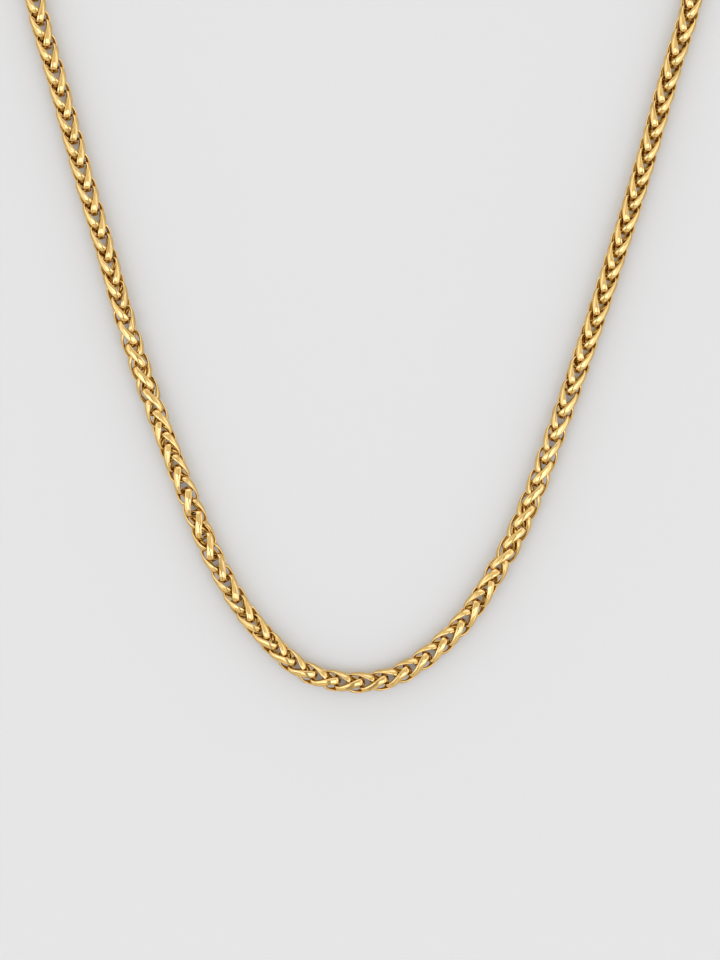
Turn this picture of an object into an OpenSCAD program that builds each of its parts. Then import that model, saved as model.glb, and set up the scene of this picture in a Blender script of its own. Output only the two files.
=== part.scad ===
// Wheat chain necklace, laid flat in its worn U shape.
// Twisted oval links of flattened wire run along one closed route.
// The frame has +Z up, the camera's right at +X, and the foot of the U towards -Y.

/* [Chain] */
// Width of the chain from edge to edge
chain_w = 4.2; // [4:0.05:5]
// Distance between links on one side of the chain
pitch = 4.865; // [4.8:0.005:6]
// Thickness of the flattened wire
wire_t = 0.58; // [0.4:0.02:0.6]
// Width of the flattened wire
wire_w = 1.2; // [1:0.05:1.25]
// Play where one link hooks into the next
link_play = 0.14; // [0.12:0.02:0.3]

/* [Back of the neck] */
// Radius of the stretch behind the neck
back_r = 67; // [60:1:75]
// Length of route kept free on each side of the clasp's middle
clasp_room = 10.35; // [9:0.05:12]

/* [Rings and clasp] */
// Diameter of the end ring's wire
ring_wire = 0.8; // [0.6:0.05:0.9]
// Inner diameter of an end ring
ring_bore = 2.3; // [2.2:0.05:2.6]
// Play of an end ring in the link and in the eye that it holds
ring_play = 0.3; // [0.25:0.05:0.35]
// Diameter of the clasp's body
clasp_d = 3.4; // [3:0.1:3.8]
// Thickness of the clasp's flat eyes
eye_t = 0.8; // [0.7:0.1:1]
// Diameter of the hole in each eye
eye_bore = 1.7; // [1.6:0.1:1.9]
// Width of metal around the hole in each eye
eye_wall = 0.7; // [0.6:0.05:0.8]
// Gap between the chain's body and its last link
end_gap = 0.3; // [0.2:0.1:0.5]

/* [Hidden] */

gold = [0.87, 0.68, 0.32];

// Route, laid out by hand: across, along. From the left shoulder round the foot to the right.
U_POINTS = [
    [-60, 8.3], [-55.6, -7.9], [-50.8, -24.1], [-46.1, -40.4], [-41.3, -54.5], [-35.1, -71],
    [-28.7, -86.1], [-21, -98.1], [-9.8, -107.6], [5, -108.2], [17.9, -99],
    [27.1, -85.5], [32.9, -73.3], [39.3, -55.8], [44.5, -40.9], [49.6, -25.3], [54.7, -9],
    [60.6, 11.6]
];
BACK_CENTRE = [0, 42.9];
BACK_START = -15;
BACK_STEP = 15;

// The tables below give places along the route as shares of the length of the U,
// from its first point.

// How far the chain has rolled about its own axis: place, roll in degrees.
ROLL = [
    [0.112, -1], [0.141, 8], [0.17, 19], [0.191, 39], [0.22, 46], [0.256, 91], [0.281, 101],
    [0.302, 117], [0.324, 135], [0.345, 152], [0.367, 168], [0.406, 182], [0.449, 200],
    [0.544, 203], [0.598, 194], [0.623, 163], [0.638, 145], [0.666, 139], [0.706, 121],
    [0.734, 108], [0.808, 90]
];

// How far the links have crept back along the route: place, share of the pitch.
SLACK = [
    [0.195, 0], [0.263, 0.15], [0.288, 0.176], [0.324, 0.205], [0.349, 0.245], [0.406, 0.32],
    [0.464, 0.388], [0.518, 0.435], [0.572, 0.505], [0.652, 0.495], [0.691, 0.585],
    [0.752, 0.708], [0.81, 0.795], [0.896, 0.87], [0.939, 0.882], [1.017, 0.857]
];

// How far the two kinds of link have slipped apart along the route: place, share of the pitch.
SLIP = [[0.112, -0.03], [0.191, 0], [0.716, 0], [0.759, 0.03]];

// Where the photographed stretch starts and ends
FRONT_START = -0.067;
FRONT_END = 1.025;

WIRE_SIDES = 6;
TUBE_SIDES = 8;
TUBE_STEP = 10;
FINE = 16;

step = pitch / 2;
half_l = step + (wire_t + link_play) / 2;
half_w = (chain_w - wire_t) / 2;
axis_z = chain_w / 2;

// Closed route: the left half of the back, the U, and the right half of the back.
function back_point(angle) =
    BACK_CENTRE + back_r * [cos(angle), sin(angle)];

back_left_knots = [for (angle = [90:BACK_STEP:180 - BACK_START]) back_point(angle)];
back_right_knots = [for (angle = [BACK_START:BACK_STEP:90 - BACK_STEP]) back_point(angle)];
route_knots = concat(back_left_knots, U_POINTS, back_right_knots);

function spline(p0, p1, p2, p3, t) =
    0.5 * (2 * p1 + t * (p2 - p0)
        + t * t * (2 * p0 - 5 * p1 + 4 * p2 - p3)
        + t * t * t * (3 * p1 - p0 - 3 * p2 + p3));

knots = len(route_knots);
function knot(i) = route_knots[(i + knots) % knots];

route_path = [
    for (i = [0:knots - 1], j = [0:FINE - 1])
        spline(knot(i - 1), knot(i), knot(i + 1), knot(i + 2), j / FINE),
    knot(0)
];
route_sums = [
    for (i = 0, sum = 0; i < len(route_path);
         sum = sum + (i + 1 < len(route_path) ? norm(route_path[i + 1] - route_path[i]) : 0),
         i = i + 1)
        sum
];
route_l = route_sums[len(route_sums) - 1];

// Where the U starts along the route, and how long it is
u_start = route_sums[len(back_left_knots) * FINE];
u_l = route_sums[(len(back_left_knots) + len(U_POINTS) - 1) * FINE] - u_start;
function in_u(s) = (s - u_start) / u_l;

route_x = [for (i = [0:len(route_path) - 1]) [route_sums[i], route_path[i][0]]];
route_y = [for (i = [0:len(route_path) - 1]) [route_sums[i], route_path[i][1]]];

function place(s) = [lookup(s, route_x), lookup(s, route_y), axis_z];
function unit(v) = v / norm(v);
function along(s) = unit(place(min(s + 1, route_l)) - place(max(s - 1, 0)));
function across(s) = let (t = along(s)) [-t[1], t[0], 0];

// A point given by height, sideways and lengthways measures in the chain's own section
function in_chain(s, p) = place(s) + p[0] * [0, 0, 1] + p[1] * across(s) + p[2] * along(s);

// Middle line of a link, from its tip round one side and back: share of the half width,
// share of the half length. The other side is the same line turned over.
LINK_SIDE = [[0.45, 1], [0.93, 0.78], [1, 0], [0.93, -0.78], [0.45, -1]];
link_line = concat(LINK_SIDE, [for (p = LINK_SIDE) -p]);
link_sections = len(link_line);

// The link's plane turns a quarter from end to end.
// hand is 1 for one kind of link and -1 for its mirror image.
function link_middle(i, hand, roll) =
    let (
        p = link_line[(i + link_sections) % link_sections],
        a = hand * 45 * (1 - p[1]) + roll
    )
    [half_w * p[0] * cos(a), half_w * p[0] * sin(a), half_l * p[1]];

wire_section = [
    for (i = [0:WIRE_SIDES - 1])
        let (q = (i + 0.5) * 360 / WIRE_SIDES)
        [wire_t / 2 * cos(q), wire_w / 2 * sin(q)]
];

function link_ring(i, hand, roll) =
    let (
        p = link_middle(i, hand, roll),
        t = unit(unit(link_middle(i + 1, hand, roll) - p)
               + unit(p - link_middle(i - 1, hand, roll))),
        a = hand * 45 * (1 - p[2] / half_l) + roll,
        side = [-sin(a), cos(a), 0],
        wide = unit(side - (side * t) * t),
        thin = cross(t, wide)
    )
    [for (q = wire_section) p + q[0] * thin + q[1] * wide];

function link_points(k) =
    let (
        s = link_s(k),
        hand = k % 2 == 0 ? 1 : -1,
        roll = lookup(in_u(s), ROLL),
        slip = [0, 0, hand * pitch * lookup(in_u(s), SLIP)]
    )
    [for (i = [0:link_sections - 1], p = link_ring(i, hand, roll)) in_chain(s, p + slip)];

link_size = link_sections * WIRE_SIDES;

function link_faces(first) = [
    for (i = [0:link_sections - 1], j = [0:WIRE_SIDES - 1])
        let (
            i2 = (i + 1) % link_sections,
            j2 = (j + 1) % WIRE_SIDES,
            a = first + i * WIRE_SIDES + j,
            b = first + i2 * WIRE_SIDES + j,
            c = first + i2 * WIRE_SIDES + j2,
            d = first + i * WIRE_SIDES + j2
        )
        each [[a, b, c], [a, c, d]]
];

// Links, counted along the route from the clasp's left side
first_s = clasp_room + half_l + wire_t / 2;
function link_s(k) = let (s = first_s + k * step) s - pitch * lookup(in_u(s), SLACK);
function links_before(s) = len([for (k = [0:ceil(route_l / step)]) if (link_s(k) < s) k]);

link_count = links_before(route_l - first_s);
front_first = links_before(u_start + FRONT_START * u_l);
front_last = links_before(u_start + FRONT_END * u_l) - 1;
front_middle = floor((front_first + front_last) / 2);

module links(first, last) {
    color(gold)
    polyhedron(
        points = [for (k = [first:last]) each link_points(k)],
        faces = [for (k = [0:last - first]) each link_faces(k * link_size)],
        convexity = 10
    );
}

// Plain body of the chain between two places on the route, with the chain's outer size
tube_r = chain_w / 2;
function tube_points(s1, s2) =
    let (rings = ceil((s2 - s1) / TUBE_STEP))
    [for (i = [0:rings], j = [0:TUBE_SIDES - 1])
        let (q = (j + 0.5) * 360 / TUBE_SIDES)
        in_chain(s1 + i * (s2 - s1) / rings, [tube_r * cos(q), tube_r * sin(q), 0])];

function tube_faces(s1, s2) =
    let (rings = ceil((s2 - s1) / TUBE_STEP), n = TUBE_SIDES)
    concat(
        [[for (j = [n - 1:-1:0]) j]],
        [[for (j = [0:n - 1]) rings * n + j]],
        [for (i = [0:rings - 1], j = [0:n - 1])
            let (a = i * n + j, b = i * n + (j + 1) % n)
            each [[a, b, b + n], [a, b + n, a + n]]]
    );

// The tube carries one true link at its clasp end
module back(s1, s2, end_link) {
    tube = tube_points(s1, s2);
    color(gold)
    polyhedron(
        points = concat(tube, link_points(end_link)),
        faces = concat(tube_faces(s1, s2), link_faces(len(tube))),
        convexity = 10
    );
}

link_reach = half_l + wire_t / 2 + end_gap;

// End rings stand upright, through the last link and through the clasp's eye.
// Each is turned halfway between the chain's line and the clasp's.
ring_r = (ring_bore + ring_wire) / 2;
ring_back = half_l - wire_t / 2 - ring_play - ring_wire / 2 + ring_r;
ring_left_s = link_s(0) - ring_back;
ring_right_s = link_s(link_count - 1) + ring_back;

module ring(s) {
    t = along(s) - clasp_dir;
    color(gold)
    translate(place(s))
    rotate([90, 0, atan2(t[1], t[0])])
    rotate_extrude($fn = 64)
    translate([ring_r, 0])
    circle(d = ring_wire, $fn = 32);
}

// The clasp lies straight between its two rings
clasp_ends = [place(ring_left_s), place(ring_right_s)];
clasp_span = norm(clasp_ends[1] - clasp_ends[0]);
clasp_dir = unit(clasp_ends[1] - clasp_ends[0]);
eye_x = clasp_span / 2 - ring_bore / 2 + ring_play - eye_bore / 2;
eye_r = eye_bore / 2 + eye_wall;
body_l = 2 * (eye_x - eye_r);

module clasp() {
    color(gold)
    translate((clasp_ends[0] + clasp_ends[1]) / 2)
    rotate([0, 0, atan2(clasp_dir[1], clasp_dir[0])])
    union() {
        rotate([0, 90, 0])
        cylinder(d = clasp_d, h = body_l, center = true, $fn = 64);
        translate([0, 0, -eye_t / 2])
        linear_extrude(eye_t)
        difference() {
            union() {
                square([2 * eye_x, 2 * eye_r], center = true);
                for (side = [-1, 1])
                    translate([side * eye_x, 0])
                    circle(r = eye_r, $fn = 64);
            }
            for (side = [-1, 1])
                translate([side * eye_x, 0])
                circle(d = eye_bore, $fn = 48);
        }
    }
}

module chain_left() { links(front_first, front_middle); }
module chain_right() { links(front_middle + 1, front_last); }
module back_left() { back(link_s(0) + link_reach, link_s(front_first) - link_reach, 0); }
module back_right() {
    back(link_s(front_last) + link_reach, link_s(link_count - 1) - link_reach, link_count - 1);
}
module ring_left() { ring(ring_left_s); }
module ring_right() { ring(ring_right_s); }

chain_left();
chain_right();
back_left();
back_right();
ring_left();
ring_right();
clasp();
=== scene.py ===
"""A wheat chain necklace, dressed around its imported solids.

The chain's links are smooth loops of flattened wire that follow the same route,
pitch and roll as the solids. Lengths from the drawing are in millimetres.
"""

import math

import bpy
import numpy as np
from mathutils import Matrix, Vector
from mathutils.bvhtree import BVHTree


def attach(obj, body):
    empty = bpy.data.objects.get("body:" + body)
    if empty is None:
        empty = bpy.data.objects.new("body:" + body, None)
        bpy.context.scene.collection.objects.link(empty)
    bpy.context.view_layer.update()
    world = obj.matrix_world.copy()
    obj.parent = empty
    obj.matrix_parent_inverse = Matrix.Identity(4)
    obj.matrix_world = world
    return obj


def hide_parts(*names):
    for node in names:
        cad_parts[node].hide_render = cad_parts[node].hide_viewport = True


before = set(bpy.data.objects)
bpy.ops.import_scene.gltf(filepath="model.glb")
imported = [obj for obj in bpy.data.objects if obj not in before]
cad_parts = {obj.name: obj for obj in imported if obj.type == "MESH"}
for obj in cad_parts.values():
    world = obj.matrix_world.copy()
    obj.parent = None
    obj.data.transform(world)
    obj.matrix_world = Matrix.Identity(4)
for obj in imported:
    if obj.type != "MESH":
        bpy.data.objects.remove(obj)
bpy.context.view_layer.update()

MM = 0.001

# Sizes of the chain, as in the part's source
CHAIN_W = 4.2
PITCH = 4.865
WIRE_T = 0.58
LINK_PLAY = 0.14
CLASP_ROOM = 10.35

# Route of the chain: across, along. The points were worked out by fits to the middle line
# of the photographed chain
U_POINTS = [
    (-60, 8.3), (-55.6, -7.9), (-50.8, -24.1), (-46.1, -40.4), (-41.3, -54.5), (-35.1, -71),
    (-28.7, -86.1), (-21, -98.1), (-9.8, -107.6), (5, -108.2), (17.9, -99),
    (27.1, -85.5), (32.9, -73.3), (39.3, -55.8), (44.5, -40.9), (49.6, -25.3), (54.7, -9),
    (60.6, 11.6),
]
BACK_CENTRE = (0.0, 42.9)
BACK_R = 67.0
BACK_START = -15
BACK_STEP = 15

# The tables below give places along the route as shares of the length of the U

# How far the chain has rolled about its own axis: place, degrees
ROLL = [
    (0.112, -1), (0.141, 8), (0.17, 19), (0.191, 39), (0.22, 46), (0.256, 91), (0.281, 101),
    (0.302, 117), (0.324, 135), (0.345, 152), (0.367, 168), (0.406, 182), (0.449, 200),
    (0.544, 203), (0.598, 194), (0.623, 163), (0.638, 145), (0.666, 139), (0.706, 121),
    (0.734, 108), (0.808, 90),
]
# How far the links have crept back: place, share of the pitch
SLACK = [
    (0.195, 0), (0.263, 0.15), (0.288, 0.176), (0.324, 0.205), (0.349, 0.245), (0.406, 0.32),
    (0.464, 0.388), (0.518, 0.435), (0.572, 0.505), (0.652, 0.495), (0.691, 0.585),
    (0.752, 0.708), (0.81, 0.795), (0.896, 0.87), (0.939, 0.882), (1.017, 0.857),
]
# How far the two hands of links have slipped apart: place, share of the pitch
SLIP = [(0.112, -0.05), (0.191, 0), (0.716, 0), (0.759, 0.05)]

# Where the photographed stretch starts and ends
FRONT_START = -0.067
FRONT_END = 1.025

# Shape and mesh of a link: the wire here is rounder and wider than the solids' six-sided
# one, and the plane of the link turns by the twist from end to end
WIRE_W = 1.4
LINK_TWIST = 90
LINK_SQUARENESS = 3.3
WIRE_SQUARENESS = 2.0
LINK_SECTIONS = 48
WIRE_SIDES = 20
OUTLINE_STEPS = 720

# Shelter of a link by its neighbours, which sets where the gold gets its painted shade: how many are
# taken on each side, how many rays leave each point, how far they reach and how far off the surface
# they start
NEIGHBOURS = 4
SHELTER_RAYS = 48
SHELTER_REACH = 6.0
RAY_LIFT = 0.01

# Camera: middle of the picture on the chain's level, height of the picture, lens
PICTURE_MIDDLE = (-0.7, -69.2)
PICTURE_HEIGHT = 189.1
LENS = 85.0
SENSOR = 36.0
CLIP_NEAR = 0.01
CLIP_FAR = 20.0

# Light tent: its brightness all over and how far its panels add to it. A panel covers a
# stretch across, left and right alike, and a stretch along, as shares of the sky's disc:
# across from, across to, along from, along to, width of its edge, added brightness
TENT = 0.86
PANELS = [
    (0.14, 0.70, -0.50, 0.05, 0.04, 1.5),
    (-1.0, 0.10, -1.50, 0.10, 0.05, -0.4),
    (0.75, 1.50, -1.50, 1.50, 0.20, 0.6),
    (-1.0, 0.50, 0.80, 1.50, 0.20, 0.8),
]
# Colour of the light: that of the bare tent, that of a full panel, and the brightness that a
# full panel adds
TENT_COLOUR = (1.06, 1.0, 0.88)
PANEL_COLOUR = (0.92, 0.96, 1.22)
PANEL_FULL = 1

# Gold: its painted shade where neighbours shelter a link, its own colour where it is open, the
# openness at which each holds, the tint of its edges, and the fittings' own colour
# Painted shade: the gold darkens towards this colour where neighbouring links shelter it
GOLD_PAINTED_SHADE = (0.45, 0.26, 0.035)
GOLD_OPEN = (0.87, 0.602, 0.23)
PAINTED_SHADE_OPENNESS = (0.1, 0.5)
GOLD_EDGE = (1.0, 0.8, 0.5)
FITTING_GOLD = (0.82, 0.56, 0.21)

# Drawing lines along the wire: how fine the noise is along and round it in millimetres, the
# stretch of the noise that turns dark, how dark, and the shift from link to link
LINK_NOISE = (0.2, 6.0, 1.0)
LINE_NOISE = (0.40, 0.52)
LINE_SHADE = 0.65
LINE_SHIFT = 3.7

# Wear: roughness from and to, and depth in millimetres. The fittings' noise is by the metre
LINK_ROUGHNESS = (0.04, 0.10)
LINK_DEPTH = 0.01
FITTING_NOISE = (400.0, 3000.0, 3000.0)
FITTING_ROUGHNESS = (0.06, 0.16)
FITTING_DEPTH = 0.01

# Floor: side in metres, colour, and glow, which is painted light that lifts the shade round the chain
FLOOR_SIZE = 6
FLOOR_COLOUR = (0.583, 0.588, 0.548)
FLOOR_ROUGHNESS = 0.9
# Painted light: the floor's own glow, which softens the chain's contact shadow
FLOOR_PAINTED_LIGHT = 0.06


def back_points(first, last):
    """Points of the round arc behind the neck, from one angle to another."""
    angles = np.radians(np.arange(first, last + 0.1, BACK_STEP))
    return [(BACK_CENTRE[0] + BACK_R * math.cos(a), BACK_CENTRE[1] + BACK_R * math.sin(a))
            for a in angles]


class Route:
    """The chain's closed middle line, with places found by distance along it."""

    def __init__(self, fine=16):
        back_left = back_points(90, 180 - BACK_START)
        back_right = back_points(BACK_START, 90 - BACK_STEP)
        knots = np.array(back_left + U_POINTS + back_right, float)
        count = len(knots)
        t = np.arange(fine)[:, None] / fine
        path = []
        for i in range(count):
            p0, p1, p2, p3 = (knots[(i + k) % count] for k in (-1, 0, 1, 2))
            path.append(0.5 * (2 * p1 + t * (p2 - p0) + t**2 * (2 * p0 - 5 * p1 + 4 * p2 - p3)
                               + t**3 * (3 * p1 - p0 - 3 * p2 + p3)))
        self.path = np.vstack(path + [knots[:1]])
        steps = np.linalg.norm(np.diff(self.path, axis=0), axis=1)
        self.sums = np.concatenate([[0], np.cumsum(steps)])
        self.length = self.sums[-1]
        self.u_start = self.sums[len(back_left) * fine]
        self.u_length = self.sums[(len(back_left) + len(U_POINTS) - 1) * fine] - self.u_start

    def place(self, s):
        """The point of the chain's middle line at a distance along the route."""
        x = np.interp(s, self.sums, self.path[:, 0])
        y = np.interp(s, self.sums, self.path[:, 1])
        return np.array([x, y, CHAIN_W / 2])

    def look_up(self, s, table):
        """The value that a table gives at a distance along the route."""
        return np.interp((s - self.u_start) / self.u_length, *zip(*table))

    def along(self, s):
        """The direction of the route at a distance along it."""
        t = self.place(min(s + 1, self.length)) - self.place(max(s - 1, 0))
        return t / np.linalg.norm(t)

    def in_chain(self, s, points):
        """Takes points given by height, sideways and lengthways measures to the frame."""
        t = self.along(s)
        axes = np.array([[0, 0, 1], [-t[1], t[0], 0], t])
        return self.place(s) + points @ axes


route = Route()
step = PITCH / 2
half_l = step + (WIRE_T + LINK_PLAY) / 2
half_w = (CHAIN_W - WIRE_T) / 2
first_s = CLASP_ROOM + half_l + WIRE_T / 2


def link_place(k):
    """The distance along the route at which link k is centred."""
    s = first_s + k * step
    return s - PITCH * route.look_up(s, SLACK)


def links_before(s):
    """How many links have their place before a distance along the route."""
    k = 0
    while link_place(k) < s:
        k += 1
    return k


link_count = links_before(route.length - first_s)
front_first = links_before(route.u_start + FRONT_START * route.u_length)
front_last = links_before(route.u_start + FRONT_END * route.u_length) - 1
front_middle = (front_first + front_last) // 2


def signed_power(v, p):
    return np.sign(v) * np.abs(v) ** p


def even_loop(a, b, squareness, count):
    """Points evenly spaced round a squared ellipse, and the length of its outline."""
    v = np.arange(OUTLINE_STEPS + 1) / OUTLINE_STEPS * 2 * math.pi
    line = np.stack([a * signed_power(np.sin(v), 2 / squareness),
                     b * signed_power(np.cos(v), 2 / squareness)], 1)
    sums = np.concatenate([[0], np.cumsum(np.linalg.norm(np.diff(line, axis=0), axis=1))])
    at = np.arange(count) / count * sums[-1]
    return np.stack([np.interp(at, sums, line[:, 0]), np.interp(at, sums, line[:, 1])], 1), sums[-1]


loop_line, loop_length = even_loop(half_w, half_l, LINK_SQUARENESS, LINK_SECTIONS)
wire_line, wire_length = even_loop(WIRE_W / 2, WIRE_T / 2, WIRE_SQUARENESS, WIRE_SIDES)


def link_vertices(hand, roll):
    """A loop of flattened wire whose plane turns by the twist from end to end."""
    r, z = loop_line.T
    a = np.radians(hand * LINK_TWIST / 2 * (1 - z / half_l) + roll)
    middle = np.stack([r * np.cos(a), r * np.sin(a), z], 1)
    t = np.roll(middle, -1, 0) - np.roll(middle, 1, 0)
    t /= np.linalg.norm(t, axis=1)[:, None]
    side = np.stack([-np.sin(a), np.cos(a), 0 * a], 1)
    wide = side - (side * t).sum(1)[:, None] * t
    wide /= np.linalg.norm(wide, axis=1)[:, None]
    thin = np.cross(t, wide)
    points = (middle[:, None] + wire_line[None, :, 1:] * thin[:, None]
              + wire_line[None, :, :1] * wide[:, None])
    return points.reshape(-1, 3)


def ring_faces(sections, sides):
    i, j = np.meshgrid(np.arange(sections), np.arange(sides), indexing="ij")
    i2, j2 = (i + 1) % sections, (j + 1) % sides
    quads = np.stack([i * sides + j, i2 * sides + j, i2 * sides + j2, i * sides + j2], -1)
    return quads.reshape(-1, 4)


def ring_lengths(sections, sides):
    """Lengths along and round the wire at the corners of each face."""
    i, j = np.meshgrid(np.arange(sections), np.arange(sides), indexing="ij")
    along, round_wire = loop_length / sections, wire_length / sides
    corners = [(i, j), (i + 1, j), (i + 1, j + 1), (i, j + 1)]
    return np.stack([np.stack([a * along, b * round_wire], -1) for a, b in corners], 2).reshape(-1, 2)


def link_openness_for_painted_shade(hand):
    """How open each point of a link is to light from outside the chain, from 0 to 1: the mask of the
    gold's painted shade.
    """
    faces = ring_faces(LINK_SECTIONS, WIRE_SIDES)
    near = [link_vertices(hand * (-1) ** n, 0) + [0, 0, n * step]
            for n in range(-NEIGHBOURS, NEIGHBOURS + 1)]
    near_faces = [faces + n * len(near[0]) for n in range(len(near))]
    tree = BVHTree.FromPolygons(np.vstack(near).tolist(), np.vstack(near_faces).tolist())
    link = near[NEIGHBOURS]
    grid = link.reshape(LINK_SECTIONS, WIRE_SIDES, 3)
    normals = np.cross(np.roll(grid, -1, 0) - np.roll(grid, 1, 0),
                       np.roll(grid, -1, 1) - np.roll(grid, 1, 1)).reshape(-1, 3)
    normals /= np.linalg.norm(normals, axis=1)[:, None]
    n = np.arange(SHELTER_RAYS) + 0.5
    up = 1 - 2 * n / SHELTER_RAYS
    turn = n * math.pi * (1 + math.sqrt(5))
    ball = np.stack([np.sqrt(1 - up**2) * np.cos(turn), np.sqrt(1 - up**2) * np.sin(turn), up], 1)
    ball *= 0.999  # so that no ray comes to nothing
    open_share = []
    for point, normal in zip(link, normals):
        rays = normal + ball
        start = Vector(point + RAY_LIFT * normal)
        free = sum(tree.ray_cast(start, Vector(ray), SHELTER_REACH)[0] is None for ray in rays)
        open_share.append(free / SHELTER_RAYS)
    return open_share


def make_mesh(name, vertices, faces):
    """A smooth piece from vertices in millimetres."""
    mesh = bpy.data.meshes.new(name)
    mesh.from_pydata((vertices * MM).tolist(), [], faces.tolist())
    mesh.polygons.foreach_set("use_smooth", [True] * len(mesh.polygons))
    mesh.update()
    piece = bpy.data.objects.new(name, mesh)
    bpy.context.scene.collection.objects.link(piece)
    return piece


def make_links(name, first, last):
    """One piece of all the links from the first to the last, with lengths and the openness that masks
    the painted shade.
    """
    faces = ring_faces(LINK_SECTIONS, WIRE_SIDES)
    lengths = ring_lengths(LINK_SECTIONS, WIRE_SIDES)
    all_points, all_faces, all_lengths, all_painted_shade_openness = [], [], [], []
    for n, k in enumerate(range(first, last + 1)):
        s = link_place(k)
        roll = route.look_up(s, ROLL)
        hand = 1 if k % 2 == 0 else -1
        slip = hand * PITCH * route.look_up(s, SLIP)
        all_points.append(route.in_chain(s, link_vertices(hand, roll) + [0, 0, slip]))
        all_faces.append(faces + n * LINK_SECTIONS * WIRE_SIDES)
        all_lengths.append(lengths + [0, n * LINE_SHIFT])
        all_painted_shade_openness += painted_shade_by_hand[hand]
    piece = make_mesh(name, np.vstack(all_points), np.vstack(all_faces))
    wire_map = piece.data.uv_layers.new(name="wire")
    wire_map.data.foreach_set("uv", np.vstack(all_lengths).ravel())
    # Painted shade mask: how open each point is, which darkens the gold where it is sheltered
    painted_shade_openness = piece.data.attributes.new("painted_shade_openness", "FLOAT", "POINT")
    painted_shade_openness.data.foreach_set("value", all_painted_shade_openness)
    return piece


def node_maker(tree):
    """The links of a node tree, and a function that adds a node with its settings."""

    def add(kind, **values):
        node = tree.nodes.new(kind)
        for key, value in values.items():
            setattr(node, key, value)
        return node

    return tree.links, add


def polish(tree, vector, roughness, depth):
    """Fine wear of polished metal: one noise for its roughness and its shallow scratches."""
    links, add = node_maker(tree)
    shader = tree.nodes["Principled BSDF"]
    shader.inputs["Metallic"].default_value = 1.0
    shader.inputs["Specular Tint"].default_value = (*GOLD_EDGE, 1)
    wear = add("ShaderNodeTexNoise")
    wear.inputs["Scale"].default_value = 1.0
    wear.inputs["Detail"].default_value = 3.0
    links.new(vector, wear.inputs["Vector"])
    rough = add("ShaderNodeMapRange")
    rough.inputs["To Min"].default_value, rough.inputs["To Max"].default_value = roughness
    links.new(wear.outputs["Fac"], rough.inputs["Value"])
    links.new(rough.outputs["Result"], shader.inputs["Roughness"])
    bump = add("ShaderNodeBump")
    bump.inputs["Strength"].default_value = 1.0
    bump.inputs["Distance"].default_value = depth * MM
    links.new(wear.outputs["Fac"], bump.inputs["Height"])
    links.new(bump.outputs["Normal"], shader.inputs["Normal"])
    return shader, wear.outputs["Fac"]


def scaled(tree, output, scale):
    """A texture coordinate, stretched."""
    links, add = node_maker(tree)
    where = add("ShaderNodeTexCoord")
    stretch = add("ShaderNodeVectorMath", operation="MULTIPLY")
    stretch.inputs[1].default_value = scale
    links.new(where.outputs[output], stretch.inputs[0])
    return stretch.outputs["Vector"]


def link_material():
    """Polished gold with drawing lines along the wire, and painted shade that darkens it where the
    links shelter it.
    """
    material = bpy.data.materials.new("polished_gold")
    material.use_nodes = True
    tree = material.node_tree
    links, add = node_maker(tree)
    shader, wear = polish(tree, scaled(tree, "UV", LINK_NOISE), LINK_ROUGHNESS, LINK_DEPTH)
    # Painted shade: the gold darkens towards its sheltered colour where the neighbouring links
    # shelter it
    shade = add("ShaderNodeAttribute", attribute_name="painted_shade_openness")
    tone = add("ShaderNodeValToRGB")
    for element, position, colour in zip(tone.color_ramp.elements, PAINTED_SHADE_OPENNESS,
                                         (GOLD_PAINTED_SHADE, GOLD_OPEN)):
        element.position, element.color = position, (*colour, 1)
    links.new(shade.outputs["Fac"], tone.inputs["Fac"])
    line = add("ShaderNodeMapRange")
    line.inputs["From Min"].default_value, line.inputs["From Max"].default_value = LINE_NOISE
    line.inputs["To Min"].default_value = LINE_SHADE
    links.new(wear, line.inputs["Value"])
    lined = add("ShaderNodeVectorMath", operation="SCALE")
    links.new(tone.outputs["Color"], lined.inputs["Vector"])
    links.new(line.outputs["Result"], lined.inputs["Scale"])
    links.new(lined.outputs["Vector"], shader.inputs["Base Color"])
    return material


def fitting_material():
    """The same polished gold, brushed along the clasp."""
    material = bpy.data.materials.new("polished_fittings")
    material.use_nodes = True
    tree = material.node_tree
    where = scaled(tree, "Object", FITTING_NOISE)
    shader, _ = polish(tree, where, FITTING_ROUGHNESS, FITTING_DEPTH)
    shader.inputs["Base Color"].default_value = (*FITTING_GOLD, 1)
    return material


def floor_material():
    """Pale matt floor that glows a little: painted light that softens the chain's contact shadow."""
    material = bpy.data.materials.new("pale_floor")
    material.use_nodes = True
    shader = material.node_tree.nodes["Principled BSDF"]
    shader.inputs["Base Color"].default_value = (*FLOOR_COLOUR, 1)
    shader.inputs["Roughness"].default_value = FLOOR_ROUGHNESS
    # Painted light: an even glow that lifts the floor's shade next to the chain
    shader.inputs["Emission Color"].default_value = (1, 1, 1, 1)
    shader.inputs["Emission Strength"].default_value = FLOOR_PAINTED_LIGHT
    return material


def make_camera():
    """Straight above the chain, as far off as the lens needs for the picture's height."""
    data = bpy.data.cameras.new("camera")
    data.lens = LENS
    data.sensor_width = SENSOR
    camera = bpy.data.objects.new("camera", data)
    height = PICTURE_HEIGHT * LENS / SENSOR + CHAIN_W / 2
    camera.location = Vector((*PICTURE_MIDDLE, height)) * MM
    data.clip_start, data.clip_end = CLIP_NEAR, CLIP_FAR
    bpy.context.scene.collection.objects.link(camera)
    bpy.context.scene.camera = camera


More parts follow.
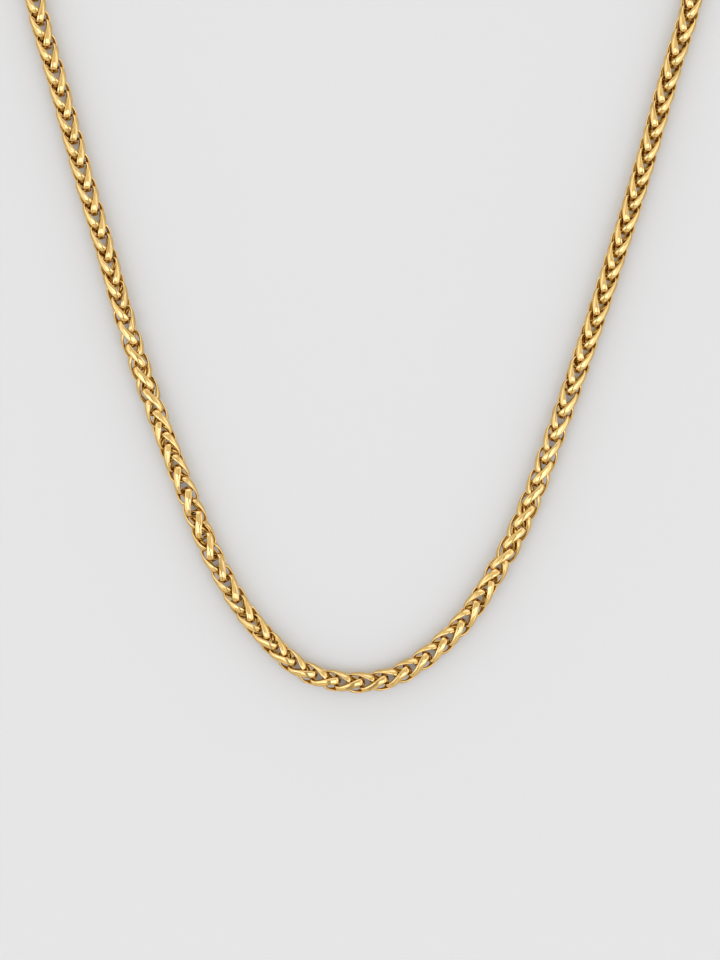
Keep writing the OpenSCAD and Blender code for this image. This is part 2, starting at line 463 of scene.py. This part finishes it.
def make_world():
    """A light tent with panels of light, set by the direction alone."""
    world = bpy.data.worlds.new("studio")
    world.use_nodes = True
    links, add = node_maker(world.node_tree)

    def maths(kind, *values):
        node = add("ShaderNodeMath", operation=kind)
        for socket, value in zip(node.inputs, values):
            if isinstance(value, float):
                socket.default_value = value
            else:
                links.new(value, socket)
        return node.outputs["Value"]

    def stretch(value, first, last, edge):
        """1 from first to last, with a soft edge at both ends."""
        sides = []
        for at, turn in ((first, 1), (last, -1)):
            side = add("ShaderNodeMapRange", interpolation_type="SMOOTHSTEP")
            side.inputs["From Min"].default_value = at - turn * edge / 2
            side.inputs["From Max"].default_value = at + turn * edge / 2
            links.new(value, side.inputs["Value"])
            sides.append(side.outputs["Result"])
        return maths("MULTIPLY", *sides)

    where = add("ShaderNodeTexCoord")
    parts = add("ShaderNodeSeparateXYZ")
    links.new(where.outputs["Generated"], parts.inputs["Vector"])
    across = maths("ABSOLUTE", parts.outputs["X"])
    total = TENT
    for x0, x1, y0, y1, edge, tone in PANELS:
        panel = maths("MULTIPLY", stretch(across, x0, x1, edge),
                      stretch(parts.outputs["Y"], y0, y1, edge))
        total = maths("ADD", maths("MULTIPLY", panel, tone), total)
    background = world.node_tree.nodes["Background"]
    links.new(total, background.inputs["Strength"])
    share = add("ShaderNodeMapRange")
    share.inputs["From Min"].default_value = TENT
    share.inputs["From Max"].default_value = TENT + PANEL_FULL
    links.new(total, share.inputs["Value"])
    colour = add("ShaderNodeMix", data_type="RGBA")
    colour.inputs["A"].default_value = (*TENT_COLOUR, 1)
    colour.inputs["B"].default_value = (*PANEL_COLOUR, 1)
    links.new(share.outputs["Result"], colour.inputs["Factor"])
    links.new(colour.outputs["Result"], background.inputs["Color"])
    bpy.context.scene.world = world


def make_studio():
    """The floor, the light round it and the plain view transform."""
    bpy.ops.mesh.primitive_plane_add(size=FLOOR_SIZE, location=(0, 0, 0))
    floor = bpy.context.object
    floor.name = "floor"
    floor.data.materials.append(floor_material())
    make_world()
    bpy.context.scene.view_settings.view_transform = "Standard"


make_camera()
# Openness of each hand's link points, the mask of the gold's painted shade
painted_shade_by_hand = {hand: link_openness_for_painted_shade(hand) for hand in (1, -1)}
gold = link_material()
fittings = fitting_material()
CHAIN_PIECES = [
    ("links_back_left", 0, front_first - 1, "back_left"),
    ("links_left", front_first, front_middle, "chain_left"),
    ("links_right", front_middle + 1, front_last, "chain_right"),
    ("links_back_right", front_last + 1, link_count - 1, "back_right"),
]
for name, first, last, node in CHAIN_PIECES:
    piece = make_links(name, first, last)
    piece.data.materials.append(gold)
    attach(piece, "root")
    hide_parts(node)
FITTINGS = ("ring_left", "ring_right", "clasp")
for node in FITTINGS:
    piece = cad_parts[node]
    piece.data.materials.clear()
    piece.data.materials.append(fittings)
    piece.data.polygons.foreach_set("use_smooth", [True] * len(piece.data.polygons))
make_studio()
